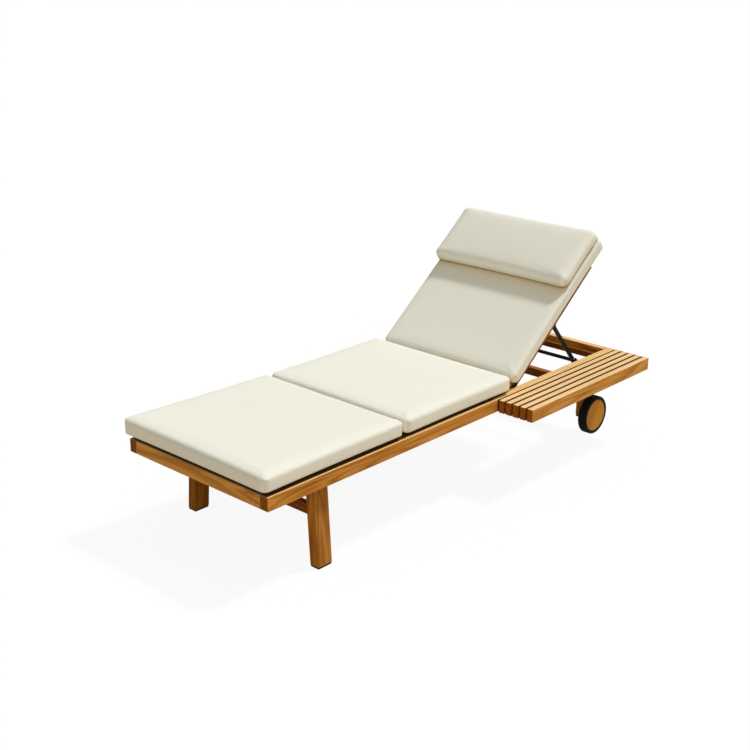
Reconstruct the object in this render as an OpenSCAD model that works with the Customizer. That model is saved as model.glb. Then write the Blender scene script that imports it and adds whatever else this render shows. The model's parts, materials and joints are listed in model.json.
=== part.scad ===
// Poolside chaise lounge: a slatted timber bed on two legs and two wheels, with a slatted shelf
// along one side, a reclining back held up by a folding steel prop, three cushions and a pillow.
// X runs from the foot to the head, Y from the shelf side to the other side, Z up.
// The origin is on the ground, under the middle of the whole piece with its shelf.

/* [Frame] */
// Length of the side rails
frame_len = 2000; // [1900:10:2100]
// Width over the side rails
frame_w = 702; // [660:2:760]
// Height of the rail tops above the ground
rail_top = 351; // [330:1:390]
// Height of the rails and of the shelf slats
rail_h = 50; // [48:1:60]
// Thickness of the side rails
side_rail_t = 36; // [32:1:42]
// Thickness of the foot and head rails
end_rail_t = 30; // [24:1:34]
// Rounding of the long edges of the timber
ease = 2.5; // [1:0.5:3]

/* [Deck] */
// Height of the slat tops above the rail tops
deck_rise = 12; // [8:1:14]
// Thickness of the deck slats
deck_slat_t = 16; // [12:1:18]
// Number of deck slats under the foot and seat cushions
deck_slat_count = 11; // [8:1:13]
// Gap between slats, on the deck and on the back
slat_gap = 22; // [14:1:26]
// Width of the cleats that carry the slats
cleat_w = 18; // [14:1:22]
// Height of the cleats that carry the slats
cleat_h = 18; // [14:1:20]
// Gap between the slat ends or the back panel and the side rails
side_gap = 3; // [3:0.5:5]

/* [Shelf] */
// Length of the shelf, which ends flush with the head of the frame
shelf_len = 818; // [600:2:900]
// Width of one shelf slat
shelf_slat_w = 26; // [22:1:34]
// Gap between shelf slats, and between the first one and the side rail
shelf_gap = 6.6; // [5:0.2:10]
// Diameter of the rods that carry the shelf slats
shelf_rod_d = 8; // [6:1:12]
// Number of rods along the shelf
shelf_rod_count = 4; // [3:1:6]
// Distance from the shelf ends to the outer rods
shelf_rod_inset = 60; // [40:5:90]
// Diameter of the spacers in the shelf's gaps
shelf_spacer_d = 20; // [16:1:26]
// Length of the blocks that close the gaps at the head of the shelf
shelf_block_len = 10; // [8:1:24]
// Depth to which a rod is set into the side rail
rod_bite = 18; // [12:1:24]
// Timber left over the rod in the outermost slat
rod_cover = 9; // [6:1:12]

/* [Legs] */
// Distance from the foot of the frame to the front legs
leg_from_foot = 234; // [180:2:300]
// Width of a front leg along the frame
leg_w = 65; // [50:1:80]
// Thickness of a front leg across the frame
leg_t = 41; // [34:1:46]
// Outward lean of the front legs in degrees
leg_splay = 4; // [0:0.5:7]
// Inset of a front leg from the side rail's outer face, at the rail's underside
leg_inset = 32; // [28:1:36]
// Thickness of the pads under the legs
pad_t = 6; // [4:0.5:8]
// Inset of the pads from the legs' faces
pad_inset = 2; // [1:0.5:4]
// Distance from the rail tops to the tops of the stretchers
stretcher_drop = 127; // [100:1:160]
// Height of the stretchers
stretcher_h = 36; // [28:1:44]
// Thickness of the stretchers
stretcher_t = 28; // [20:1:34]
// Setback of the stretchers from the legs' foot-facing sides
stretcher_setback = 3; // [3:0.5:8]

/* [Wheels] */
// Distance from the head of the frame to the axles
axle_from_head = 111; // [100:1:150]
// Outer diameter of the tyres
tyre_d = 164; // [150:1:190]
// Diameter of the wooden wheel discs
disc_d = 138; // [120:1:142]
// Width of the tyres
wheel_w = 39; // [34:1:44]
// Depth of the disc's faces inside the tyre's faces
disc_recess = 1.5; // [1:0.5:3]
// Chamfer around the outer face of a disc
disc_chamfer = 3; // [2:0.5:5]
// Rounding of the tyre's shoulders
tyre_shoulder = 6; // [4:0.5:6]
// Width of the grooves in the tread
groove_w = 2; // [1:0.5:3]
// Depth of the grooves in the tread
groove_depth = 1.2; // [0.8:0.1:2]
// Inset of the wheels' outer faces from the side rails' outer faces
wheel_inset = 1; // [1:1:4]
// Diameter of the axles
axle_d = 14; // [12:1:18]
// Depth of an axle in its wheel
axle_bite = 25; // [18:1:30]
// Diameter of the collars and heads of the axles
axle_collar_d = 24; // [20:1:28]
// Thickness of the heads of the axles
axle_head_t = 5; // [3:1:8]
// Gap between a wheel and its leg, which the collar takes up
wheel_gap = 3; // [2:0.5:5]
// Width of a wheel leg along the frame
wheel_leg_w = 65; // [54:1:80]
// Thickness of a wheel leg across the frame
wheel_leg_t = 40; // [32:1:46]
// Distance from the rail tops to the underside of the wheel legs' pads
wheel_leg_drop = 285; // [280:1:300]
// Height of the blocks that carry the wheel legs under the rails
leg_block_h = 30; // [24:1:40]
// Length of the blocks
leg_block_len = 98; // [84:1:130]
// Inset of the blocks from the side rails' outer faces
leg_block_inset = 8; // [5:1:14]

/* [Back] */
// Angle of the back above level, in degrees, as it is shown
back_angle = 38.6; // [34:0.2:42]
// Steepest angle of the back, in degrees
back_max_angle = 50; // [46:1:52]
// Distance from the head of the frame to the back's hinge
hinge_from_head = 675; // [660:5:700]
// Depth of the hinge below the rail tops
hinge_drop = 6; // [4:1:8]
// Gap between the end of the deck and the hinge's centre
hinge_gap = 30; // [28:1:34]
// Gap between the top end of the back panel and the head rail, when the back lies flat
panel_end_gap = 3; // [2:0.5:6]
// Width of the back panel's stiles
stile_w = 32; // [30:1:40]
// Thickness of the back panel's stiles and rails
stile_t = 24; // [22:1:24]
// Thickness of the back panel's slats
back_slat_t = 12; // [10:1:12]
// Number of slats on the back panel
back_slat_count = 6; // [5:1:7]
// Reach of the slats below the hinge's centre
back_slat_lead = 8; // [4:1:10]
// Width of the back panel's cross rails
back_rail_w = 50; // [40:1:70]
// Reach of the hinge shoes above the hinge's centre
shoe_len = 36; // [28:1:44]
// Reach of the hinge shoes below the hinge's centre
shoe_tail = 14; // [10:1:16]
// Diameter of the hinge pins
hinge_pin_d = 10; // [8:1:12]
// Depth of a hinge pin in its side rail
pin_bite = 24; // [18:1:28]
// Distance from a hinge pin's inner end to its shoe's inner face
pin_stop = 4; // [3:1:6]

/* [Prop] */
// Distance from the hinge to the prop's pivot along the back panel
prop_pivot_up = 342; // [330:1:350]
// Distance of the prop's pivot behind the hinge's line
prop_pivot_back = 31; // [30:0.5:31]
// Length of the prop's arms between centres
prop_len = 253.5; // [250:0.5:258]
// Depth of the crossbar's centre below the rail tops, with the back as it is shown
bar_drop = 8; // [6:0.5:10]
// Diameter of the crossbar
bar_d = 15; // [12:0.5:16]
// Width of the arms
arm_w = 18; // [14:1:18]
// Thickness of the arms
arm_t = 5; // [4:0.5:6]
// Distance from the back panel's edge to the middle of an arm
arm_inset = 22; // [20:0.5:22]
// Diameter of the arms' eyes around the crossbar
arm_eye_d = 24; // [20:0.5:25]
// Thickness of the brackets on the stiles
bracket_t = 3; // [2:0.5:3]
// Gap between an arm and the cheeks of its bracket
arm_gap = 3.5; // [2:0.5:4]
// Length of the brackets along the stiles
bracket_len = 40; // [32:1:60]
// Diameter of the brackets' round ends
bracket_round_d = 21; // [18:0.5:22]
// Diameter of the prop's bolts
bolt_d = 8; // [6:0.5:10]
// Diameter of the bolts' heads
bolt_head_d = 14; // [12:0.5:18]
// Thickness of the bolts' heads
bolt_head_t = 3; // [2:0.5:4]
// Thickness of the rack plates on the side rails
rack_t = 2.5; // [2:0.1:2.5]
// Gap under the crossbar as it passes over the racks' teeth
rack_clear = 0.6; // [0.5:0.1:1]
// Depth of the racks' notches
rack_depth = 7; // [4:0.5:9]
// Length of the flat land at each end of a rack
rack_land = 14; // [10:1:20]
// Distance between a rack's lower edge and the rail's underside
rack_foot = 2; // [1:0.5:4]
// Least depth of a rack below the rail tops
rack_sink = 1; // [0.5:0.5:2]

/* [Cushions] */
// Overhang of the foot cushion past the foot of the frame
cushion_overhang = 12; // [0:1:20]
// Length of the foot cushion
foot_cushion_len = 664; // [620:2:664]
// Gap between the foot and seat cushions
cushion_gap = 12; // [8:1:16]
// Gap between the seat cushion and the back's hinge
seat_cushion_gap = 53; // [53:1:80]
// Width of the foot and seat cushions
cushion_w = 702; // [640:2:702]
// Thickness of the foot and seat cushions at their edges
cushion_t = 56; // [45:1:70]
// Rise of the cushions' tops at their middle
cushion_crown = 5; // [2:0.5:8]
// Distance along the back from the hinge's centre to the back cushion
back_cushion_start = 14; // [14:1:24]
// Length of the back cushion
back_cushion_len = 718; // [640:2:740]
// Width of the back cushion and the pillow
back_cushion_w = 676; // [600:2:700]
// Thickness of the back cushion at its edges
back_cushion_t = 54; // [45:1:54]
// Rise of the back cushion's front at its middle
back_cushion_crown = 3; // [1:0.5:3]
// Length of the head pillow along the back
pillow_len = 288; // [220:2:340]
// Thickness of the head pillow at its edges
pillow_t = 50; // [40:1:70]
// Rise of the pillow's front at its middle
pillow_crown = 8; // [4:0.5:12]
// Rounding of the cushions' long edges
cushion_edge_r = 10; // [8:1:20]
// Rounding of the cushions' corners in plan
cushion_corner_r = 16; // [16:1:40]
// Inward curve of the cushions' sides between their corners
cushion_draw = 3; // [1:0.5:5]

/* [Hidden] */
// Number of shelf slats
shelf_slat_count = 5;
// Radial running clearance of a pin in its bore
running_clear = 0.05;
// Gap under a loose piece, and between a collar and the wheel that turns beside it
seat_clear = 0.3;
// Gap between the crossbar's ends and the side rails
bar_end_gap = 0.5;
// Overrun of cuts past the faces that they open
overrun = 1;
// Notches of a rack, and how many of them lie above the one in use
rack_stop_count = 5;
rack_upper_stop_count = 2;
// Angles that the back turns through from a notch's middle to its tooth and to its root
tooth_lag_angle = 0.9;
root_lead_angle = 0.4;
// Places of the tread's grooves across a tyre
groove_shares = [0.32, 0.68];
// Steps in the cushions' rounded edges, corners, sides and crown
edge_steps = 4;
corner_steps = 4;
side_steps = 6;
crown_steps = 4;
$fn = 32;

// Places along the frame, from its foot
rail_in_y = frame_w / 2 - side_rail_t;
head_rail_x = frame_len - end_rail_t;
hinge_x = frame_len - hinge_from_head;
deck_end_x = hinge_x - hinge_gap;
axle_x = frame_len - axle_from_head;
shelf_x = frame_len - shelf_len;
panel_half_w = rail_in_y - side_gap;
panel_len = head_rail_x - panel_end_gap - hinge_x;
seat_cushion_x = foot_cushion_len - cushion_overhang + cushion_gap;
seat_cushion_len = hinge_x - seat_cushion_gap - seat_cushion_x;
shelf_pitch = shelf_slat_w + shelf_gap;
shelf_w = shelf_slat_count * shelf_pitch;

// Heights below the rail tops
cleat_top_z = deck_rise - deck_slat_t;
cleat_bottom_z = cleat_top_z - cleat_h;
axle_z = tyre_d / 2 - rail_top;
panel_under = deck_rise + hinge_drop - back_slat_t - stile_t;
stile_top = panel_under + stile_t;
panel_face = stile_top + back_slat_t;
head_cleat_top_z = panel_under - hinge_drop - seat_clear;

// The slat widths that fill the deck and the back
deck_slat_w = (deck_end_x - end_rail_t - slat_gap) / deck_slat_count - slat_gap;
back_slat_w = (panel_len + back_slat_lead + slat_gap) / back_slat_count - slat_gap;

// Faces across the frame, from its middle line
wheel_out_y = frame_w / 2 - wheel_inset;
wheel_in_y = wheel_out_y - wheel_w;
wheel_leg_out_y = wheel_in_y - wheel_gap;
wheel_leg_in_y = wheel_leg_out_y - wheel_leg_t;
arm_mid_y = panel_half_w - arm_inset;
cheek_y = arm_t / 2 + arm_gap;

// The prop's linkage: 2D points are [along the frame, height above the rail tops]
function turned(p, a) = [p.x * cos(a) - p.y * sin(a), p.x * sin(a) + p.y * cos(a)];
function prop_pivot(a) = [hinge_x, -hinge_drop] + turned([prop_pivot_up, -prop_pivot_back], a);
prop_rest_angle = asin((prop_pivot(back_angle).y + bar_drop) / prop_len);
fold_angle = back_angle + prop_rest_angle;
function prop_angle(a) = a - fold_angle * a / back_angle;
function bar_centre(a) = prop_pivot(a) + turned([prop_len, 0], prop_angle(a));
function tooth_line(a) = bar_centre(a) - [0, bar_d / 2 + rack_clear];
function sunk(p) = [p.x, min(p.y, -rack_sink)];
function stop_angle(i) = back_max_angle - i * (back_max_angle - back_angle) / rack_upper_stop_count;

// Half the distance between the front legs' inner faces at a depth below the rail tops
function leg_in_y(depth) =
    frame_w / 2 - leg_inset - leg_t / cos(leg_splay) + (depth - rail_h) * tan(leg_splay);

// One ring of a cushion, set in from its outline: round corners, with sides drawn in between them
function ring(size, inset) = [
    for (q = [0:3])
        let (
            half = size / 2 - [cushion_corner_r, cushion_corner_r],
            here = [q == 0 || q == 3 ? half.x : -half.x, q < 2 ? half.y : -half.y],
            next = [q > 1 ? half.x : -half.x, q == 0 || q == 3 ? half.y : -half.y],
            r = cushion_corner_r - inset
        )
        each concat(
            [for (i = [0:corner_steps])
                let (a = 90 * (q + i / corner_steps))
                here + r * [cos(a), sin(a)]],
            [for (i = [1:side_steps - 1])
                let (t = i / side_steps, a = 90 * (q + 1))
                here + t * (next - here) + (r - cushion_draw * sin(180 * t)) * [cos(a), sin(a)]]
        )
];

function lifted(points, z) = [for (p = points) [p.x, p.y, z]];

near = -1;
far = 1;
teak = [0.76, 0.53, 0.30];
dark_teak = [0.50, 0.30, 0.15];
ivory = [0.88, 0.86, 0.78];
black = [0.08, 0.08, 0.09];

// Places the frame, whose own origin is at its foot, mid-width, level with the rail tops
module on_frame() {
    translate([-(frame_len - cushion_overhang) / 2, shelf_w / 2, rail_top]) children();
}

// Places what belongs to the back: X runs up the panel from the hinge, Z out of its front
module on_back() {
    on_frame() translate([hinge_x, 0, -hinge_drop]) rotate([0, -back_angle, 0]) children();
}

// Places what belongs to the prop: X runs along its arms from their pivots
module on_prop() {
    pivot = prop_pivot(back_angle);
    on_frame() translate([pivot.x, 0, pivot.y]) rotate([0, -prop_angle(back_angle), 0]) children();
}

// A rectangle with its corners rounded, centred
module eased(w, h) {
    square([w - 2 * ease, h], center = true);
    square([w, h - 2 * ease], center = true);
    for (x = [-1, 1], y = [-1, 1])
        translate([x * (w / 2 - ease), y * (h / 2 - ease)]) circle(ease);
}

// A board with its long edges rounded, lengthways along X, Y or Z, from its lowest corner
module board_x(l, w, h) {
    translate([0, w / 2, h / 2]) rotate([90, 0, 90]) linear_extrude(l) eased(w, h);
}

module board_y(l, w, h) {
    translate([l / 2, w, h / 2]) rotate([90, 0, 0]) linear_extrude(w) eased(l, h);
}

module board_z(l, w, h) {
    translate([l / 2, w / 2, 0]) linear_extrude(h) eased(l, w);
}

// A cylinder across the frame between two places
module across(y0, y1, d) {
    translate([0, y0, 0]) rotate([-90, 0, 0]) cylinder(d = d, h = y1 - y0);
}

// A plate in the XZ plane between two places across the frame
module plate(y0, y1) {
    translate([0, y1, 0]) rotate([90, 0, 0]) linear_extrude(y1 - y0) children();
}

// Mirrors a piece made for the far side to the near side
module on_side(side) {
    if (side == far) children();
    else mirror([0, 1, 0]) children();
}

module both_sides() {
    for (side = [near, far]) on_side(side) children();
}

// A crowned cushion on its seat, centred in plan
module cushion(l, w, t, crown) {
    size = [l, w];
    r = cushion_edge_r;
    edge = [for (i = [0:edge_steps]) 90 * i / edge_steps];
    top_ring = ring(size, r);
    rings = concat(
        [for (a = edge) lifted(ring(size, r * (1 - sin(a))), r * (1 - cos(a)))],
        [for (a = edge) lifted(ring(size, r * (1 - cos(a))), t - r + r * sin(a))],
        [for (i = [1:crown_steps - 1])
            let (s = 1 - i / crown_steps)
            lifted(s * top_ring, t + crown * (1 - s * s))]
    );
    n = len(top_ring);
    m = len(rings);
    points = concat([for (g = rings) each g], [[0, 0, 0], [0, 0, t + crown]]);
    faces = concat(
        [for (j = [0:m - 2], i = [0:n - 1]) each [
            [j * n + i, (j + 1) * n + i, (j + 1) * n + (i + 1) % n],
            [j * n + i, (j + 1) * n + (i + 1) % n, j * n + (i + 1) % n]]],
        [for (i = [0:n - 1]) [m * n, i, (i + 1) % n]],
        [for (i = [0:n - 1]) [m * n + 1, (m - 1) * n + (i + 1) % n, (m - 1) * n + i]]
    );
    polyhedron(points, faces);
}

// Shelf rods: their places along the frame and across it
module at_shelf_rods() {
    span = shelf_len - 2 * shelf_rod_inset;
    for (i = [0:shelf_rod_count - 1])
        translate([shelf_x + shelf_rod_inset + i * span / (shelf_rod_count - 1), 0, -rail_h / 2])
            children();
}

module shelf_rod() {
    across(-frame_w / 2 - shelf_w + rod_cover, -frame_w / 2 + rod_bite, shelf_rod_d);
}

module hinge_pin() {
    translate([hinge_x, 0, -hinge_drop])
        across(panel_half_w - stile_w + pin_stop, rail_in_y + pin_bite, hinge_pin_d);
}

module side_rail() {
    difference() {
        translate([0, rail_in_y, -rail_h]) board_x(frame_len, side_rail_t, rail_h);
        hinge_pin();
    }
}

module side_rail_near() {
    color(teak) on_frame() difference() {
        on_side(near) side_rail();
        at_shelf_rods() shelf_rod();
    }
}

module side_rail_far() {
    color(teak) on_frame() side_rail();
}

module foot_rail() {
    color(teak) on_frame()
        translate([0, -rail_in_y, -rail_h]) board_y(end_rail_t, 2 * rail_in_y, rail_h);
}

module head_rail() {
    color(teak) on_frame()
        translate([head_rail_x, -rail_in_y, -rail_h]) board_y(end_rail_t, 2 * rail_in_y, rail_h);
}

module deck_cleats() {
    color(dark_teak) on_frame() both_sides()
        translate([end_rail_t, rail_in_y - cleat_w, cleat_bottom_z])
            cube([deck_end_x - end_rail_t, cleat_w, cleat_h]);
}

module head_cleat() {
    height = head_cleat_top_z + rail_h;
    color(dark_teak) on_frame()
        translate([head_rail_x - cleat_w, -rail_in_y, -rail_h]) cube([cleat_w, 2 * rail_in_y, height]);
}

module deck_slat(i) {
    x = end_rail_t + slat_gap + (i - 1) * (deck_slat_w + slat_gap);
    color(teak) on_frame()
        translate([x, -panel_half_w, cleat_top_z]) board_y(deck_slat_w, 2 * panel_half_w, deck_slat_t);
}

module shelf_slat(i) {
    y = -frame_w / 2 - i * shelf_pitch;
    color(teak) on_frame() difference() {
        translate([shelf_x, y, -rail_h]) board_x(shelf_len, shelf_slat_w, rail_h);
        at_shelf_rods() shelf_rod();
    }
}

module shelf_rods() {
    color(black) on_frame() at_shelf_rods() shelf_rod();
}

// Places what fills the shelf's gaps, from the gap beside the side rail outwards
module at_shelf_gaps() {
    for (i = [1:shelf_slat_count])
        translate([0, shelf_slat_w - frame_w / 2 - i * shelf_pitch, 0]) children();
}

// Rings around the rods, and blocks that close the gaps at the head end
module shelf_spacers() {
    color(dark_teak) on_frame() {
        at_shelf_rods() difference() {
            at_shelf_gaps() across(0, shelf_gap, shelf_spacer_d);
            shelf_rod();
        }
        at_shelf_gaps() translate([frame_len - shelf_block_len, 0, -rail_h])
            cube([shelf_block_len, shelf_gap, rail_h]);
    }
}

module front_bearer() {
    color(dark_teak) on_frame()
        translate([leg_from_foot, -rail_in_y, -rail_h])
            cube([leg_w, 2 * rail_in_y, rail_h + cleat_bottom_z]);
}

// A front leg leans outward from the rail's underside and is cut level at both ends
module front_leg() {
    reach = rail_top / cos(leg_splay);
    intersection() {
        translate([leg_from_foot, frame_w / 2 - leg_inset, -rail_h]) rotate([leg_splay, 0, 0])
            translate([0, -leg_t, -reach]) board_z(leg_w, leg_t, reach + leg_t);
        translate([0, 0, pad_t - rail_top])
            cube([frame_len, frame_w, rail_top - pad_t - rail_h]);
    }
}

module front_leg_near() {
    color(teak) on_frame() on_side(near) front_leg();
}

module front_leg_far() {
    color(teak) on_frame() front_leg();
}

module front_stretcher() {
    half = leg_in_y(stretcher_drop + stretcher_h) + overrun;
    color(dark_teak) on_frame() difference() {
        translate([leg_from_foot + stretcher_setback, -half, -stretcher_drop - stretcher_h])
            board_y(stretcher_t, 2 * half, stretcher_h);
        both_sides() front_leg();
    }
}

module axle() {
    collar_y = wheel_in_y + disc_recess - seat_clear;
    translate([axle_x, 0, axle_z]) {
        across(wheel_leg_in_y - axle_head_t, wheel_leg_in_y, axle_collar_d);
        across(wheel_leg_in_y - axle_head_t, wheel_in_y + axle_bite, axle_d);
        across(wheel_leg_out_y, collar_y, axle_collar_d);
    }
}

module wheel_leg() {
    top = -rail_h - leg_block_h;
    bottom = pad_t - wheel_leg_drop;
    difference() {
        translate([axle_x - wheel_leg_w / 2, wheel_leg_in_y, bottom])
            board_z(wheel_leg_w, wheel_leg_t, top - bottom);
        translate([axle_x, 0, axle_z])
            across(wheel_leg_in_y - overrun, wheel_leg_out_y + overrun, axle_d);
    }
}

module wheel_leg_near() {
    color(teak) on_frame() on_side(near) wheel_leg();
}

module wheel_leg_far() {
    color(teak) on_frame() wheel_leg();
}

module wheel_leg_blocks() {
    color(dark_teak) on_frame() both_sides()
        translate([axle_x - leg_block_len / 2, wheel_leg_in_y, -rail_h - leg_block_h])
            board_x(leg_block_len, frame_w / 2 - leg_block_inset - wheel_leg_in_y, leg_block_h);
}

module rear_stretcher() {
    x = axle_x - wheel_leg_w / 2 + stretcher_setback;
    color(dark_teak) on_frame()
        translate([x, -wheel_leg_in_y, -stretcher_drop - stretcher_h])
            board_y(stretcher_t, 2 * wheel_leg_in_y, stretcher_h);
}

module leg_pads() {
    foot_in_y = leg_in_y(rail_top - pad_t);
    color(black) on_frame() both_sides() {
        translate([leg_from_foot + pad_inset, foot_in_y + pad_inset, -rail_top])
            cube([leg_w - 2 * pad_inset, leg_t - 2 * pad_inset, pad_t]);
        translate([axle_x - wheel_leg_w / 2 + pad_inset, wheel_leg_in_y + pad_inset, -wheel_leg_drop])
            cube([wheel_leg_w - 2 * pad_inset, wheel_leg_t - 2 * pad_inset, pad_t]);
    }
}

// A rack's teeth follow the crossbar's path, with a notch's root just before each tooth, as far as the
// rail's top allows
module racks() {
    teeth = [for (i = [0:rack_stop_count - 1]) each [
        tooth_line(stop_angle(i) + root_lead_angle) - [0, rack_depth],
        sunk(tooth_line(stop_angle(i) - tooth_lag_angle))]];
    first = sunk(tooth_line(stop_angle(0) + root_lead_angle) - [rack_land, 0]);
    last = teeth[len(teeth) - 1] + [rack_land, -rack_depth / 2];
    foot_z = rack_foot - rail_h;
    color(black) on_frame() both_sides() plate(rail_in_y - rack_t, rail_in_y)
        polygon(concat([[first.x, foot_z], first], teeth, [last, [last.x, foot_z]]));
}

module hinge_pins() {
    color(black) on_frame() both_sides() hinge_pin();
}

module axles() {
    color(black) on_frame() both_sides() axle();
}

module stile() {
    translate([shoe_len, panel_half_w - stile_w, panel_under])
        board_x(panel_len - shoe_len, stile_w, stile_t);
}

module back_stile_near() {
    color(teak) on_back() on_side(near) stile();
}

module back_stile_far() {
    color(teak) on_back() stile();
}

module back_rail(x) {
    half = panel_half_w - stile_w;
    translate([x, -half, panel_under]) board_y(back_rail_w, 2 * half, stile_t);
}

module back_rail_lower() {
    color(teak) on_back() back_rail(shoe_len);
}

module back_rail_upper() {
    color(teak) on_back() back_rail(panel_len - back_rail_w);
}

module back_slat(i) {
    x = -back_slat_lead + (i - 1) * (back_slat_w + slat_gap);
    color(teak) on_back()
        translate([x, -panel_half_w, stile_top]) board_y(back_slat_w, 2 * panel_half_w, back_slat_t);
}

module hinge_shoes() {
    color(black) on_back() both_sides() difference() {
        translate([-shoe_tail, panel_half_w - stile_w, panel_under])
            cube([shoe_len + shoe_tail, stile_w, stile_t]);
        across(panel_half_w - stile_w - overrun, panel_half_w + overrun, hinge_pin_d + 2 * running_clear);
    }
}

module at_prop_pivot() {
    translate([prop_pivot_up, arm_mid_y, -prop_pivot_back]) children();
}

// A clevis under each stile: a plate with two cheeks that hold the bolt
module prop_brackets() {
    depth = panel_under + prop_pivot_back;
    out_y = cheek_y + bracket_t;
    color(black) on_back() both_sides() at_prop_pivot() difference() {
        union() {
            translate([-bracket_len / 2, -out_y, depth - bracket_t])
                cube([bracket_len, 2 * out_y, bracket_t]);
            for (y0 = [-out_y, cheek_y]) {
                across(y0, y0 + bracket_t, bracket_round_d);
                translate([-bracket_round_d / 2, y0, 0]) cube([bracket_round_d, bracket_t, depth]);
            }
        }
        across(-out_y - overrun, out_y + overrun, bolt_d);
    }
}

module prop_bolts() {
    out_y = cheek_y + bracket_t;
    color(black) on_back() both_sides() at_prop_pivot() {
        across(-out_y, out_y, bolt_d);
        across(out_y, out_y + bolt_head_t, bolt_head_d);
        across(-out_y - bolt_head_t, -out_y, bolt_head_d);
    }
}

// A flat arm with an eye around the crossbar and a round end at its bolt
module prop_arm() {
    y0 = arm_mid_y - arm_t / 2;
    y1 = arm_mid_y + arm_t / 2;
    difference() {
        union() {
            translate([0, y0, -arm_w / 2]) cube([prop_len, arm_t, arm_w]);
            across(y0, y1, arm_w);
            translate([prop_len, 0, 0]) across(y0, y1, arm_eye_d);
        }
        across(y0 - overrun, y1 + overrun, bolt_d + 2 * running_clear);
        translate([prop_len, 0, 0]) across(y0 - overrun, y1 + overrun, bar_d);
    }
}

module prop_arm_near() {
    color(black) on_prop() on_side(near) prop_arm();
}

module prop_arm_far() {
    color(black) on_prop() prop_arm();
}

module prop_crossbar() {
    reach = rail_in_y - bar_end_gap;
    color(black) on_prop() translate([prop_len, 0, 0]) across(-reach, reach, bar_d);
}

// Places a wheel: its own Z runs out along the axle from the tyre's inner face
module on_axle(side) {
    on_frame() on_side(side) translate([axle_x, wheel_in_y, axle_z]) rotate([-90, 0, 0]) children();
}

module tyre(side) {
    shoulder_x = tyre_d / 2 - tyre_shoulder;
    color(black) on_axle(side) rotate_extrude($fn = 96) difference() {
        union() {
            translate([disc_d / 2, 0]) square([shoulder_x - disc_d / 2, wheel_w]);
            translate([disc_d / 2, tyre_shoulder])
                square([(tyre_d - disc_d) / 2, wheel_w - 2 * tyre_shoulder]);
            for (y = [tyre_shoulder, wheel_w - tyre_shoulder])
                translate([shoulder_x, y]) circle(tyre_shoulder);
        }
        for (share = groove_shares)
            translate([tyre_d / 2 - groove_depth, share * wheel_w - groove_w / 2])
                square([groove_depth + overrun, groove_w]);
    }
}

module wheel_disc(side) {
    r = disc_d / 2;
    low = disc_recess;
    high = wheel_w - disc_recess;
    color(teak) on_axle(side) difference() {
        rotate_extrude($fn = 96)
            polygon([[0, low], [r, low], [r, high - disc_chamfer], [r - disc_chamfer, high], [0, high]]);
        cylinder(d = axle_d + 2 * running_clear, h = axle_bite + seat_clear);
    }
}

module tyre_near() tyre(near);

module tyre_far() tyre(far);

module wheel_disc_near() wheel_disc(near);

module wheel_disc_far() wheel_disc(far);

module foot_cushion() {
    color(ivory) on_frame()
        translate([foot_cushion_len / 2 - cushion_overhang, 0, deck_rise + seat_clear])
            cushion(foot_cushion_len, cushion_w, cushion_t, cushion_crown);
}

module seat_cushion() {
    color(ivory) on_frame()
        translate([seat_cushion_x + seat_cushion_len / 2, 0, deck_rise + seat_clear])
            cushion(seat_cushion_len, cushion_w, cushion_t, cushion_crown);
}

module back_cushion() {
    color(ivory) on_back()
        translate([back_cushion_start + back_cushion_len / 2, 0, panel_face + seat_clear])
            cushion(back_cushion_len, back_cushion_w, back_cushion_t, back_cushion_crown);
}

module head_pillow() {
    x = back_cushion_start + back_cushion_len - pillow_len / 2;
    z = panel_face + back_cushion_t + back_cushion_crown + 2 * seat_clear;
    color(ivory) on_back()
        translate([x, 0, z]) cushion(pillow_len, back_cushion_w, pillow_t, pillow_crown);
}

side_rail_near();
side_rail_far();
foot_rail();
head_rail();
deck_cleats();
head_cleat();
for (i = [1:deck_slat_count])
    deck_slat(i);
for (i = [1:shelf_slat_count])
    shelf_slat(i);
shelf_rods();
shelf_spacers();
front_bearer();
front_leg_near();
front_leg_far();
front_stretcher();
wheel_leg_near();
wheel_leg_far();
wheel_leg_blocks();
rear_stretcher();
leg_pads();
racks();
hinge_pins();
axles();
back_stile_near();
back_stile_far();
back_rail_lower();
back_rail_upper();
for (i = [1:back_slat_count])
    back_slat(i);
hinge_shoes();
prop_brackets();
prop_bolts();
prop_arm_near();
prop_arm_far();
prop_crossbar();
tyre_near();
tyre_far();
wheel_disc_near();
wheel_disc_far();
foot_cushion();
seat_cushion();
back_cushion();
head_pillow();
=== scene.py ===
"""The looks of the poolside chaise lounge: eased teak boards, ivory canvas cushions, black steel and tyres.

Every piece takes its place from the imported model's own nodes. Lengths are in metres, and X runs from the foot
to the head, Y from the shelf side to the far side, Z up.
"""

import itertools
import json
import math

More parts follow.
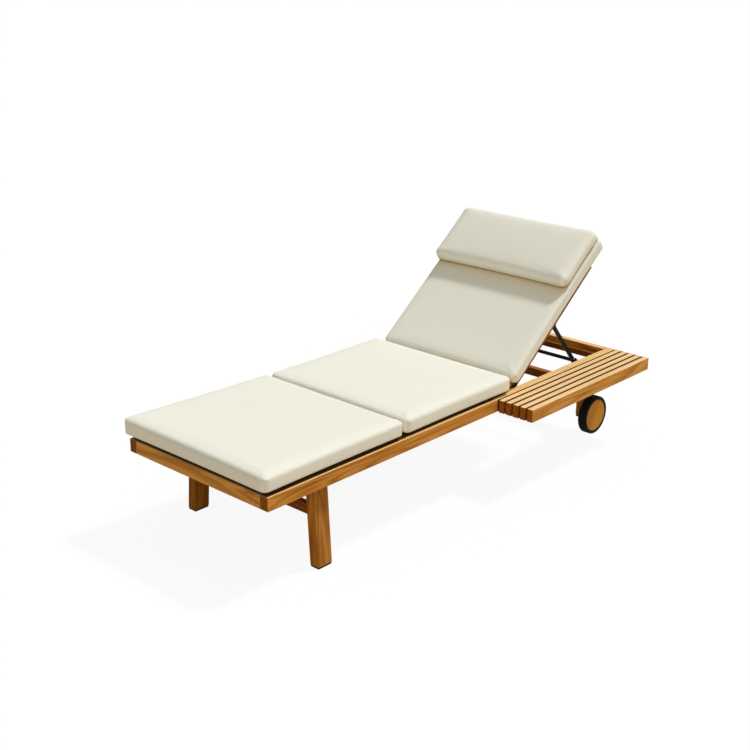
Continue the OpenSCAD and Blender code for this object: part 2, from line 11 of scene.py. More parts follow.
import bpy
import bmesh
import numpy as np
from mathutils import Matrix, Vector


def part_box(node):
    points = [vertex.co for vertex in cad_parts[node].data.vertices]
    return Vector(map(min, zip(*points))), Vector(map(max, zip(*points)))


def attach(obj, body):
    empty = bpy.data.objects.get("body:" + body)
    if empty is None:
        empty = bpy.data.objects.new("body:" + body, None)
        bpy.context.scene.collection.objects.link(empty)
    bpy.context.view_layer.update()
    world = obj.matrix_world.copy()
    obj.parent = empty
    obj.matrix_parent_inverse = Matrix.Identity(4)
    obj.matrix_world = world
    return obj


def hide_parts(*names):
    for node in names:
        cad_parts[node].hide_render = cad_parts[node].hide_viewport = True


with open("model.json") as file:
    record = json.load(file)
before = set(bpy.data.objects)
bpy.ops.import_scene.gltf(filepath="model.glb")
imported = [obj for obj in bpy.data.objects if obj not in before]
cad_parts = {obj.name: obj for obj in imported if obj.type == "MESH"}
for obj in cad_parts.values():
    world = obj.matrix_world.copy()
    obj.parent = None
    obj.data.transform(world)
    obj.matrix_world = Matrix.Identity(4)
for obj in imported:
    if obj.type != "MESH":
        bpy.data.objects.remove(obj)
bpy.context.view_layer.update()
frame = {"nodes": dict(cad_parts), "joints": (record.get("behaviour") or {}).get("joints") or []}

X, Y, Z = 0, 1, 2
BACK_ANGLE = math.radians(38.6)

# The photograph's camera and light
CAMERA_AT = (-3.3914, -2.9028, 2.0545)
CAMERA_YAW, CAMERA_PITCH, CAMERA_ROLL = (math.radians(a) for a in (42.33, 20.0, 0.47))
FOCAL_PIXELS, FRAME_PIXELS, SENSOR = 1253.7, 750, 36.0
SUN_TOWARDS = (0.459, -0.196, 0.867)
FILL_TOWARDS = (-0.70, -0.68, 0.31)


# Where the bodies stand. Each place, a 4 by 4, turns a body's own axes into the row frame.

def joint_at(name):
    return np.array(next(j for j in frame["joints"] if j["name"] == name)["pos_m"], float)


def leaning(angle, origin):
    """X leans up from level by the angle, about the Y axis through the origin."""
    place = np.eye(4)
    place[:3, 0] = math.cos(angle), 0, math.sin(angle)
    place[:3, 2] = -math.sin(angle), 0, math.cos(angle)
    place[:3, 3] = origin
    return place


LEVEL = np.eye(4)
BACK = leaning(BACK_ANGLE, joint_at("back_hinge"))


def moved(place, points):
    return points @ place[:3, :3].T + place[:3, 3]


def turned(place, directions):
    """Normals go through the inverse transpose, so that they stay square to a sheared face."""
    out = directions @ np.linalg.inv(place[:3, :3])
    return out / np.linalg.norm(out, axis=1, keepdims=True)


def placed_at(x, y, z, place=LEVEL):
    """The place moved along its own axes."""
    shifted = place.copy()
    shifted[:3, 3] = moved(place, np.array([[x, y, z]]))[0]
    return shifted


def node_points(node, place=LEVEL):
    """A node's vertices along a body's own axes."""
    return moved(np.linalg.inv(place), mesh_points(frame["nodes"][node].data))


def middle_and_half(box):
    """A box's middle, and half its size."""
    low, high = np.array(box)
    return (low + high) / 2, (high - low) / 2


# Meshes

def mesh_points(mesh):
    points = np.empty(len(mesh.vertices) * 3)
    mesh.vertices.foreach_get("co", points)
    return points.reshape(-1, 3)


def set_points(mesh, points):
    mesh.vertices.foreach_set("co", points.ravel())
    mesh.update()


def set_smooth(mesh):
    mesh.polygons.foreach_set("use_smooth", [True] * len(mesh.polygons))


def new_mesh(name, points, faces):
    mesh = bpy.data.meshes.new(name)
    mesh.from_pydata(points.tolist(), [], [list(map(int, face)) for face in faces])
    mesh.update()
    return mesh


def merged(mesh, face_outwards=False):
    """Joins the points that fall together and returns the mesh's points."""
    joined = bmesh.new()
    joined.from_mesh(mesh)
    bmesh.ops.remove_doubles(joined, verts=joined.verts, dist=1e-6)
    if face_outwards:
        bmesh.ops.recalc_face_normals(joined, faces=joined.faces)
    joined.to_mesh(mesh)
    joined.free()
    return mesh_points(mesh)


def grid_faces(rows, columns):
    """The quads of a grid whose columns close into a ring."""
    at = np.arange(rows * columns).reshape(rows, columns)
    turn = np.roll(at, -1, axis=1)
    return np.stack([at[:-1], turn[:-1], turn[1:], at[1:]], axis=2).reshape(-1, 4)


def give(mesh, attribute, vectors):
    made = mesh.attributes.new(attribute, "FLOAT_VECTOR", "POINT")
    made.data.foreach_set("vector", np.ascontiguousarray(vectors, dtype=np.float32).ravel())


def show(name, data):
    """A new object in the scene."""
    made = bpy.data.objects.new(name, data)
    bpy.context.scene.collection.objects.link(made)
    return made


def wear(mesh, material):
    mesh.materials.clear()
    mesh.materials.append(material)


def add_piece(name, mesh, material, body, slot, *nodes):
    """Puts a piece into the scene: the body that it rides on, and the nodes that it replaces. The slot is not
    used.
    """
    piece = show(name, mesh)
    wear(mesh, material)
    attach(piece, body)
    if nodes:
        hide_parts(*nodes)
    return piece


# Shader building

class Wire:
    """A socket of a shader node. Arithmetic on wires adds one Math node for each operation."""

    def __init__(self, finish, node, output):
        self.finish, self.node = finish, node
        self.socket = node.outputs[output] if len(node.outputs) else None

    def out(self, output):
        return Wire(self.finish, self.node, output)

    def math(self, operation, *terms, clamp=False):
        return self.finish.node("Math", {"operation": operation, "use_clamp": clamp}, dict(enumerate(terms)))

    def __add__(self, other):
        return self.math("ADD", self, other)

    def __radd__(self, other):
        return self.math("ADD", other, self)

    def __sub__(self, other):
        return self.math("SUBTRACT", self, other)

    def __rsub__(self, other):
        return self.math("SUBTRACT", other, self)

    def __mul__(self, other):
        return self.math("MULTIPLY", self, other)

    def __rmul__(self, other):
        return self.math("MULTIPLY", other, self)

    def __abs__(self):
        return self.math("ABSOLUTE", self)

    def sine(self):
        return self.math("SINE", self)

    def most(self, other):
        return self.math("MAXIMUM", self, other)

    def least(self, other):
        return self.math("MINIMUM", self, other)

    def clamped(self):
        return self.math("ADD", self, 0.0, clamp=True)

    def rising(self, rate):
        """From 0, where the wire is 0, up to 1 at the rate."""
        return (self * rate).clamped()

    def peak(self, rate):
        """1 where the wire is 0, down to 0 on both sides at the rate."""
        return (1 - abs(self) * rate).clamped()


class Finish:
    """A material, or the world, built node by node. Colours are given as three numbers."""

    def __init__(self, tree):
        self.tree = tree
        tree.nodes.clear()

    def node(self, kind, settings=None, sockets=None, output=0):
        """Adds a node: its settings first, then the values or wires of its sockets."""
        made = self.tree.nodes.new("ShaderNode" + kind)
        for name, value in (settings or {}).items():
            if name == "stops":
                ramp = made.color_ramp.elements
                while len(ramp) < len(value):
                    ramp.new(0.5)
                for stop, (position, colour) in zip(ramp, value):
                    stop.position, stop.color = position, (*colour, 1)
            else:
                setattr(made, name, value)
        for name, value in (sockets or {}).items():
            socket = made.inputs[name]
            if isinstance(value, Wire):
                self.tree.links.new(value.socket, socket)
            else:
                socket.default_value = (*value, 1.0) if socket.type == "RGBA" else value
        return Wire(self, made, output)

    def attribute(self, name, output="Vector"):
        return self.node("Attribute", {"attribute_name": name}, output=output)

    def object_place(self):
        return self.node("TexCoord", output="Object")

    def axes(self, vector):
        """The three numbers of a vector."""
        split = self.node("SeparateXYZ", {}, {0: vector})
        return split, split.out("Y"), split.out("Z")

    def noise(self, at, scale=1.0, detail=3.0, roughness=0.55, stretch=(1, 1, 1), distortion=0.0):
        """Noise from 0 to 1, stretched along the axes of its coordinates."""
        mapped = self.node("Mapping", {}, {"Vector": at, "Scale": stretch})
        return self.node("TexNoise", {}, {"Vector": mapped, "Scale": scale, "Detail": detail,
                                          "Roughness": roughness, "Distortion": distortion})

    def mixed(self, share, first, second):
        return self.node("Mix", {"data_type": "RGBA"}, {0: share, 6: first, 7: second}, 2)

    def bump(self, height, distance, strength):
        return self.node("Bump", {}, {"Height": height, "Distance": distance, "Strength": strength})

    def principled(self, **sockets):
        named = {key.replace("_", " ").title(): value for key, value in sockets.items()}
        named["Specular IOR Level"] = named.pop("Specular", 0.5)
        shader = self.node("BsdfPrincipled", {}, named)
        self.node("OutputMaterial", {}, {"Surface": shader})


def new_finish(name):
    material = bpy.data.materials.new(name)
    material.use_nodes = True
    return material, Finish(material.node_tree)


# Teak

# Each palette: the dark, the middle and the light growth, the pale tone of up-facing faces (sun bleaching
# together with a painted sky reflection), and end grain
GOLDEN = ((0.38, 0.132, 0.017), (0.60, 0.240, 0.040), (0.74, 0.350, 0.084),
          (0.98, 0.70, 0.34), (0.18, 0.048, 0.002))
OILED = ((0.29, 0.090, 0.008), (0.44, 0.158, 0.017), (0.57, 0.240, 0.038),
         (0.97, 0.69, 0.33), (0.18, 0.048, 0.003))
PALE = ((0.42, 0.155, 0.024), (0.65, 0.285, 0.058), (0.80, 0.415, 0.115),
        (1.0, 0.75, 0.43), (0.33, 0.072, 0.005))
# A darker copy of the teak: painted shade for the far leg, the deck slats and the back's panel.
DEEP_SHADE = ((0.20, 0.054, 0.004), (0.31, 0.100, 0.009), (0.41, 0.158, 0.020),
        (0.66, 0.36, 0.14), (0.15, 0.042, 0.005))
SHADED = ((0.13, 0.033, 0.002), (0.22, 0.062, 0.005), (0.31, 0.105, 0.012),
          (0.44, 0.20, 0.06), (0.11, 0.030, 0.004))
# A lighter copy of the teak for the wheels' discs: painted light that makes up for the shelf's shadow on them.
DISC_LIT = ((0.52, 0.205, 0.027), (0.61, 0.262, 0.042), (0.69, 0.325, 0.064),
        (0.80, 0.45, 0.12), (0.36, 0.12, 0.012))
STREAK_SHARE_OF_PALE_TOP = (0.82, 0.74, 0.62)  # share of the pale top tone that is left in the darkest streaks
# The next two colours are grime and staining together with painted shade: the first on rail tops under the
# cushions and on the rails' faces beside the shelf, the second on the slats' sides at the shelf's gaps.
GRIME_AND_SHADE = (0.034, 0.010, 0.0006)
GAP_STAIN_AND_SHADE = (0.17, 0.052, 0.002)

(rail_low, _), (_, rail_high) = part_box("side_rail_near"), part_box("side_rail_far")
RAILS_FOOT, NEAR_FACE = float(rail_low[0]), float(rail_low[1])
RAILS_MIDDLE = float(rail_low[1] + rail_high[1]) / 2
RAILS_HALF_WIDTH = float(rail_high[1] - rail_low[1]) / 2
SHELF_FOOT, SEAT_FOOT = (float(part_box(node)[0][0]) for node in ("shelf_slat_1", "seat_cushion"))
GRIME_AND_SHADE_END = float(joint_at("back_hinge")[0]) - 0.02
COVER_INSET, FOOT_INSET, SHELF_LEAD, FACE_SKIN = 0.0045, 0.010, 0.02, 0.0004


def rail_grime_and_shade(f, top_face):
    """Where grime and painted shade lie on a rail: on its top under the cushions, in from its outer side by an
    inset that doubles at the seat and widens again beside the shelf, and on the outer face that the shelf
    covers."""
    x, y, _ = f.axes(f.object_place())
    at_seat, at_shelf = (x - SEAT_FOOT).rising(200.0), (x - SHELF_FOOT + SHELF_LEAD).rising(25.0)
    inset = COVER_INSET * (1 + at_seat + 1.6 * at_shelf)
    inside = (RAILS_HALF_WIDTH - inset - abs(y - RAILS_MIDDLE)).rising(260.0)
    under = inside * (x - RAILS_FOOT + FOOT_INSET).rising(55.0) * (GRIME_AND_SHADE_END - x).rising(25.0)
    beside_shelf = (x - SHELF_FOOT).rising(700.0) * (NEAR_FACE + FACE_SKIN - y).rising(9000.0)
    return (under * top_face.rising(1.6)).most(beside_shelf)


def teak(name, palette, figure=1.0, rail=False, gaps=False):
    """Oiled teak, paler where it faces up: sun bleaching together with a painted sky reflection. The piece's
    "grain" attribute gives metres along and across the grain. Its "faces" attribute gives how far a point faces
    along the grain, faces up, and lies on a rounded edge, which is lighter from wear together with a painted
    highlight. Slats with gaps are darkened beside them by staining together with painted shade, in full up to
    1.2 mm away and fading
    out at 3.6 mm: their "gap" attribute gives the distance from each of their two long sides."""
    dark, middle, light, bleached_and_sky_lit, end = palette
    material, f = new_finish(name)
    grain = f.attribute("grain")
    end_face, top_face, worn_and_highlit = f.axes(f.attribute("faces"))
    growth = f.noise(grain, detail=2.0, roughness=0.5, stretch=(1.3, 16, 16), distortion=0.3)
    streaks = f.noise(grain, detail=5.0, roughness=0.62, stretch=(4.5, 120, 120))
    patches = f.noise(grain, detail=2.0, roughness=0.5, stretch=(2.2, 5, 5))
    pores = (f.noise(grain, detail=2.0, roughness=0.5, stretch=(45, 900, 900)) - 0.60).rising(7.0)
    rings = (growth * 46.0).sine() * 0.5 + 0.5
    uneven = (rings - 0.5) * 0.30 + (streaks - 0.5) * 0.75 + (patches - 0.5) * 0.55
    tone = (0.5 + uneven * figure).clamped()
    colour = f.node("ValToRGB", {"stops": [(0.22, dark), (0.5, middle), (0.80, light)]}, {"Fac": tone})
    # Up-facing faces turn pale: sun bleaching together with a painted sky reflection.
    pale_top_streaks = tuple(share * c for share, c in zip(STREAK_SHARE_OF_PALE_TOP, bleached_and_sky_lit))
    pale = f.mixed((streaks * 2.6 - 0.75).clamped(), pale_top_streaks, bleached_and_sky_lit)
    colour = f.mixed(top_face * 0.85, colour, pale)
    colour = f.mixed(end_face * 0.9, colour, end)
    # Rounded edges lighten: wear together with a painted highlight.
    colour = f.mixed(worn_and_highlit * 0.30, colour, light)
    colour = f.mixed(pores * 0.35, colour, dark)
    # The slats' sides at the gaps darken with staining together with painted shade.
    if gaps:
        one_side, other_side, _ = f.axes(f.attribute("gap"))
        stain_and_shade = (1.5 - one_side.least(other_side) * 420.0).clamped()
        colour = f.mixed(stain_and_shade * 0.95, colour, GAP_STAIN_AND_SHADE)
    # Rail tops under the cushions, and the face beside the shelf, darken with grime together with painted
    # shade.
    if rail:
        colour = f.mixed(rail_grime_and_shade(f, top_face) * 0.93, colour, GRIME_AND_SHADE)
    relief = f.bump(streaks * 0.6 + rings * 0.15 - pores * 0.8, distance=0.0003, strength=0.5)
    f.principled(base_color=colour, roughness=streaks * 0.25 + 0.48, normal=relief, specular=0.05)
    return material


TEAK = teak("teak", GOLDEN)
TEAK_RAIL = teak("teak_rail", GOLDEN, rail=True)
TEAK_SHELF = teak("teak_shelf", PALE, gaps=True)
TEAK_FOOT = teak("teak_foot", PALE, rail=True)
TEAK_LEG = teak("teak_leg", OILED, figure=1.25)
TEAK_DEEP_SHADE = teak("teak_deep_shade", DEEP_SHADE)
TEAK_DISC_LIT = teak("teak_disc_lit", DISC_LIT, figure=0.4)
TEAK_UNDER = teak("teak_under", SHADED)


# Canvas, steel and rubber

# The seam colour is painted shade on the seams; the warm side colour is painted bounce light on the lower
# sides; the tan and dark colours are staining and soiling together with painted shade.
THREAD, THREAD_SHADE, SEAM_SHADE = (0.885, 0.880, 0.800), (0.815, 0.805, 0.710), (0.50, 0.46, 0.36)
PAINTED_BOUNCE_WARMTH, TAN_STAIN_AND_SHADE, DARK_SOIL_AND_SHADE = (0.935, 0.855, 0.70), (0.72, 0.52, 0.17), (0.11, 0.062, 0.024)
WEAVE_PITCH, STITCH_PITCH, STITCH_OFFSET = 0.0016, 0.0045, 0.0035


def canvas(name):
    """Woven outdoor canvas. The "cloth" attribute gives metres along, across and through the cushion. The
    "seams" attribute gives the distances from the upright corner seams and from the upper and lower edge
    seams; the seams, and a band just under the upper seam, are darkened with painted shade, and the sides warm
    towards the bottom with painted bounce light. The soiling attribute rises from 0 to tan staining with
    painted shade at 0.5, and to dark soiling with painted contact shade along the lower edge at 1."""
    material, f = new_finish(name)
    cloth = f.attribute("cloth")
    along, across, through = f.axes(cloth)
    corner, upper, lower = f.axes(f.attribute("seams"))
    turn = 2 * math.pi / WEAVE_PITCH
    weave = (along * turn).sine() + (across * turn).sine() + (through * turn).sine()
    on_side = upper.rising(-900.0) * lower.rising(900.0)
    sewn = (corner.peak(700.0) * on_side).most(upper.peak(700.0).most(lower.peak(700.0)))
    stitch_line = (abs(upper) - STITCH_OFFSET).peak(1300.0)
    stitch = stitch_line * ((along + across) * (2 * math.pi / STITCH_PITCH)).sine().rising(3.0)
    slubs = f.noise(cloth, roughness=0.6, stretch=(60, 420, 420))
    mottle = f.noise(cloth, scale=9.0, roughness=0.5)
    colour = f.mixed((slubs * 0.28 + mottle * 0.22).clamped(), THREAD, THREAD_SHADE)
    # Painted bounce light: the sides warm towards the bottom.
    colour = f.mixed(on_side * upper.rising(-30.0) * 0.7, colour, PAINTED_BOUNCE_WARMTH)
    # Painted shade: a band just under the upper seam, and the seams themselves.
    colour = f.mixed(on_side * (1 + upper * 70.0).clamped() * 0.14, colour, SEAM_SHADE)
    colour = f.mixed(sewn * 0.3, colour, SEAM_SHADE)
    # Staining and soiling together with painted shade: tan under the pillow's edge, dark along the lower edges.
    soil = f.attribute("soil", output="Fac") * 2.0
    colour = f.mixed(soil.clamped() * 0.55, colour, TAN_STAIN_AND_SHADE)
    colour = f.mixed((soil - 1.0).clamped() * 0.95, colour, DARK_SOIL_AND_SHADE)
    soft = f.noise(cloth, scale=14.0, detail=2.0, roughness=0.5)
    height = weave * 0.012 + slubs * 0.03 + soft * 0.5 - sewn * 1.2 - stitch * 0.2
    f.principled(base_color=colour, roughness=0.86 + mottle * 0.08, specular=0.2,
                 normal=f.bump(height, distance=0.0009, strength=0.6), sheen_weight=0.15, sheen_roughness=0.6)
    return material


def black_steel(name):
    """Black powder coat on steel: a fine orange-peel surface with faint dust."""
    material, f = new_finish(name)
    at = f.object_place()
    peel = f.noise(at, scale=900.0, detail=2.0)
    dust = f.noise(at, scale=30.0, detail=4.0, roughness=0.6)
    colour = f.mixed((dust * 1.5 - 0.5).clamped(), (0.0045, 0.0035, 0.0025), (0.012, 0.009, 0.006))
    f.principled(base_color=colour, roughness=dust * 0.2 + 0.42, specular=0.08,
                 normal=f.bump(peel, distance=0.00008, strength=0.5))
    return material


def bright_steel(name):
    """Brushed stainless steel."""
    material, f = new_finish(name)
    brushed = f.noise(f.object_place(), roughness=0.6, stretch=(300, 2200, 300))
    f.principled(base_color=f.mixed(brushed, (0.62, 0.61, 0.58), (0.80, 0.79, 0.76)), metallic=1.0,
                 roughness=brushed * 0.2 + 0.2, normal=f.bump(brushed, distance=0.00003, strength=0.4))
    return material


def rubber(name, colour, dusty, grit):
    """Black rubber or moulded plastic, dusty in its pores."""
    material, f = new_finish(name)
    at = f.object_place()
    fine, wide = f.noise(at, scale=grit), f.noise(at, scale=22.0, detail=4.0, roughness=0.6)
    f.principled(base_color=f.mixed((wide * 1.6 - 0.5).clamped() * 0.8, colour, dusty), specular=0.08,
                 roughness=wide * 0.2 + 0.62, normal=f.bump(fine, distance=0.00025, strength=0.5))
    return material


CANVAS = canvas("canvas")
STEEL = black_steel("black_steel")
BOLT_STEEL = bright_steel("bolt_steel")
TYRE = rubber("tyre", (0.0055, 0.0055, 0.005), (0.016, 0.014, 0.011), grit=700.0)
PADS = rubber("pads", (0.006, 0.006, 0.006), (0.014, 0.013, 0.012), grit=1200.0)


# Boards

EASE, SLAT_EASE, BLOCK_EASE, SHOE_EASE = 0.0025, 0.001, 0.0006, 0.002
GRAIN_SPREAD = 20.0  # how far apart in the tree, in metres of grain, boards are cut
TURNED_GRAIN = (7.3, 1.9, 4.1)  # where in the tree turned pieces are cut
TOLERANCE = 1e-4
board_seeds = itertools.count(1)


def eased_block(half, ease, steps=3):
    """The surface of a box with every edge rounded: P(a, b) = c(n) + ease * n, where n is the unit vector at
    longitude a and latitude b, and c(n) the inner box's corner in the octant of n. Returns points and
    faces."""
    quarter = np.linspace(0, math.pi / 2, steps + 1)
    longitude = np.concatenate([quarter + q * math.pi / 2 for q in range(4)])
    latitude = np.concatenate([quarter - math.pi / 2, quarter])
    side_x = np.repeat([1, -1, -1, 1], steps + 1)
    side_y = np.repeat([1, 1, -1, -1], steps + 1)
    side_z = np.repeat([-1, 1], steps + 1)
    n = np.stack([np.outer(np.cos(latitude), np.cos(longitude)),
                  np.outer(np.cos(latitude), np.sin(longitude)),
                  np.outer(np.sin(latitude), np.ones_like(longitude))], axis=2)
    octant = np.stack(np.broadcast_arrays(side_x[None, :], side_y[None, :], side_z[:, None]), axis=2)
    points = octant * (half - ease) + ease * n
    rows, columns = points.shape[:2]
    corners = np.arange(4) * (steps + 1)
    faces = np.concatenate([grid_faces(rows, columns), [corners[::-1], corners + (rows - 1) * columns]])
    return points.reshape(-1, 3), faces


def board(name, points, along, place, material, body, slot, *nodes, ease=EASE, shear=None, gap_sides=()):
    """A board that fills the box of the points, with its grain along one axis of its place. The shear, a 4 by
    4, turns the upright box into a leaning one. The gap sides, -1 or 1 along Y, have a gap beside them."""
    low, high = points.min(0), points.max(0)
    half, centre = (high - low) / 2, (high + low) / 2
    inner = half - ease
    mesh = new_mesh(name, *eased_block(half, ease))
    own = merged(mesh)
    normal = own - np.clip(own, -inner, inner)
    normal /= np.linalg.norm(normal, axis=1, keepdims=True)
    full = placed_at(*centre, place)
    if shear is not None:
        full = full @ shear
    facing = turned(full, normal)
    shift = np.random.default_rng(next(board_seeds)).uniform(-GRAIN_SPREAD, GRAIN_SPREAD, 3)
    give(mesh, "grain", own[:, [along, (along + 1) % 3, (along + 2) % 3]] + shift)
    # Faces that point up take the pale top tone: sun bleaching together with a painted sky reflection.
    end_face, top_face = np.abs(normal[:, along]) ** 4, np.clip(facing[:, 2], 0, 1)
    # Rounded edges are marked to lighten: wear together with a painted highlight.
    worn_and_highlit = np.clip((1 - np.abs(normal).max(1)) * 3.4, 0, 1)
    give(mesh, "faces", np.stack([end_face, top_face, worn_and_highlit], axis=1))
    if gap_sides:
        closed = np.ones(len(own))
        distances = [half[1] - side * own[:, 1] if side in gap_sides else closed for side in (1, -1)]
        give(mesh, "gap", np.stack([*distances, closed], axis=1))
    set_points(mesh, moved(full, own))
    set_smooth(mesh)
    mesh.normals_split_custom_set_from_vertices(facing.tolist())
    add_piece(name, mesh, material, body, slot, *nodes)


def node_board(node, along, material, body="frame", place=LEVEL, slot="teak", ease=EASE, gap_sides=()):
    board(node + "_board", node_points(node, place), along, place, material, body, slot, node, ease=ease,
          gap_sides=gap_sides)


def paired_boards(node, along, material=TEAK_UNDER, body="frame", place=LEVEL, slot="teak_under", ease=EASE):
    """Two boards for a node that has one solid on each side of the middle. The near one replaces the node."""
    points = node_points(node, place)
    near = points[:, 1] < points[:, 1].mean()
    board(node + "_near", points[near], along, place, material, body, slot, node, ease=ease)
    board(node + "_far", points[~near], along, place, material, body, slot, ease=ease)


def splayed_leg(node, material):
    """A front leg: an upright board sheared outwards, cut level at both ends."""
    points = node_points(node)
    top, bottom = points[:, 2].max(), points[:, 2].min()
    at_top = points[points[:, 2] > top - TOLERANCE, 1]
    at_bottom = points[points[:, 2] < bottom + TOLERANCE, 1]
    shear = np.eye(4)
    shear[1, 2] = lean = (at_top.mean() - at_bottom.mean()) / (top - bottom)
    middle, half_width = (at_top.mean() + at_bottom.mean()) / 2, np.ptp(at_top) / 2
    upright = points.copy()
    upright[:, 1] = np.clip(points[:, 1] - (points[:, 2] - (top + bottom) / 2) * lean,
                            middle - half_width, middle + half_width)
    board(node + "_board", upright, Z, LEVEL, material, "frame", "teak", node, shear=shear)


def lay_boards():
    """Each board draws its own stretch of grain by its number, so their order stays as it is."""
    for node in ("side_rail_near", "side_rail_far"):
        node_board(node, X, TEAK_RAIL)
    for i in range(1, 5):
        node_board(f"shelf_slat_{i}", X, TEAK_SHELF, ease=SLAT_EASE, gap_sides=(-1, 1))
    node_board("shelf_slat_5", X, TEAK_SHELF, ease=SLAT_EASE, gap_sides=(1,))
    node_board("foot_rail", Y, TEAK_FOOT)
    node_board("head_rail", Y, TEAK_LEG)
    for i in range(1, 12):
        node_board(f"deck_slat_{i}", Y, TEAK_DEEP_SHADE)
    for node in ("wheel_leg_near", "wheel_leg_far"):
        node_board(node, Z, TEAK_LEG)
    for node in ("head_cleat", "front_bearer", "rear_stretcher", "front_stretcher"):
        node_board(node, Y, TEAK_UNDER, slot="teak_under")
    # The back's panel wears the darker copy of the teak as painted shade.
    for node in ("back_stile_near", "back_stile_far"):
        node_board(node, X, TEAK_DEEP_SHADE, "back", BACK)
    for node in ("back_rail_lower", "back_rail_upper", *(f"back_slat_{i}" for i in range(1, 7))):
        node_board(node, Y, TEAK_DEEP_SHADE, "back", BACK)
    for node in ("deck_cleats", "wheel_leg_blocks"):
        paired_boards(node, X)
    paired_boards("hinge_shoes", X, STEEL, "back", BACK, "black_steel", SHOE_EASE)
    splayed_leg("front_leg_near", TEAK_LEG)
    # The far leg wears the darker copy of the teak as painted shade.
    splayed_leg("front_leg_far", TEAK_DEEP_SHADE)


lay_boards()


# Wheels and the prop's bar, turned on a lathe

def lathe(name, profile, places, segments, material, body, slot, *nodes, cut=None, sharp=35):
    """A profile of (radius, place along Y) carried round the Y axis of each place:
    P(a, b) = (r(b) cos a, y(b), r(b) sin a). The cut gives how much r shrinks at each (b, a)."""
    angle = np.linspace(0, 2 * math.pi, segments, endpoint=False)
    radius = np.repeat(profile[:, :1], segments, axis=1)
    if cut is not None:
        radius = radius - cut(profile, angle)
    one = np.stack([radius * np.cos(angle), np.repeat(profile[:, 1:], segments, axis=1),
                    radius * np.sin(angle)], axis=2).reshape(-1, 3)
    quads = grid_faces(len(profile), segments)[:, ::-1]
    mesh = new_mesh(name, np.concatenate([moved(place, one) for place in places]),
                    np.concatenate([quads + i * len(one) for i in range(len(places))]))
    own = merged(mesh, face_outwards=True) - places[0][:3, 3]
    give(mesh, "grain", own[:, [2, 0, 1]] + TURNED_GRAIN)
    give(mesh, "faces", np.zeros_like(own))
    set_smooth(mesh)
    mesh.set_sharp_from_angle(angle=math.radians(sharp))
    add_piece(name, mesh, material, body, slot, *nodes)


def arc(centre, radius, start, stop, steps=5):
    """Points on an arc of the profile, angles in degrees from the radius towards Y."""
    a = np.radians(np.linspace(start, stop, steps))
    return np.stack([centre[0] + radius * np.cos(a), centre[1] + radius * np.sin(a)], axis=1)


def wheel(side, body, outward):
    """A tyre with three grooves and sipes, and a disc whose rim is raised on the outward side, -1 or 1."""
    centre, (outer, half, _) = middle_and_half(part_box("tyre_" + side))
    disc_centre, (rim, face, _) = middle_and_half(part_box("wheel_disc_" + side))
    shoulder, bead, bead_ease = 0.006, 0.0015, 0.001
    groove, deep = 0.0022, 0.0016
    grooves = [np.array([(outer, y - groove), (outer - deep, y - groove / 2), (outer - deep, y + groove / 2),
                         (outer, y + groove)]) for y in (-0.0075, 0.0, 0.0075)]
    profile = np.concatenate([
        [(rim, -half + bead_ease), (rim + bead, -half)],
        arc((outer - shoulder, -half + shoulder), shoulder, -90, 0, 7), *grooves,
        arc((outer - shoulder, half - shoulder), shoulder, 0, 90, 7),
        [(rim + bead, half), (rim, half - bead_ease), (rim, -half + bead_ease)]])

    def sipes(shape, angle):
        """Short cuts across both shoulders of the tread, one every few degrees."""
        every, half_wide, depth = 7.5, 0.8, 0.0011
        start, run_in, reach = 0.0105, 0.001, 0.0035
        across = np.clip((np.abs(shape[:, 1]) - start) / run_in, 0, 1) * (shape[:, 0] > outer - reach)
        around = np.abs((np.degrees(angle) % every) - every / 2) < half_wide
        return np.outer(across, around) * depth

    lathe(f"tyre_{side}_tread", profile, [placed_at(*centre)], 384, TYRE, body, "tyre", "tyre_" + side,
          cut=sipes)
    chamfer, running_gap, raised, raised_by = 0.003, 0.0002, 0.004, 0.0003
    turned_face = np.array([
        (0.0, -face), (rim - chamfer, -face), (rim - running_gap, -face + chamfer),
        (rim - running_gap, face - chamfer), (rim - chamfer, face),
        (rim - chamfer - raised, face - raised_by), (0.0, face - raised_by)])
    lathe(f"wheel_disc_{side}_turned", turned_face * (1, outward), [placed_at(*disc_centre)], 128, TEAK_DISC_LIT,
          body, "teak", "wheel_disc_" + side, sharp=25)


wheel("near", "wheel_near", -1)
wheel("far", "wheel_far", 1)

bar_centre, (bar_radius, bar_half, _) = middle_and_half(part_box("prop_crossbar"))
bar_round = 0.002
bar_profile = np.concatenate([
    [(0.0, -bar_half)], arc((bar_radius - bar_round, -bar_half + bar_round), bar_round, -90, 0),
    arc((bar_radius - bar_round, bar_half - bar_round), bar_round, 0, 90), [(0.0, bar_half)]])
lathe("prop_crossbar_turned", bar_profile, [placed_at(*bar_centre)], 48, STEEL, "prop", "black_steel",
      "prop_crossbar")


# Small fastenings

def pan_head(radius, height):
    """The profile of a screw's pan head that stands on the plane y = 0, with a shallow drive recess."""
    return np.array([(radius, -0.0004), (radius, height * 0.35), (radius * 0.85, height * 0.8),
                     (radius * 0.55, height), (radius * 0.30, height), (radius * 0.22, height * 0.45),
                     (0.0, height * 0.40)])


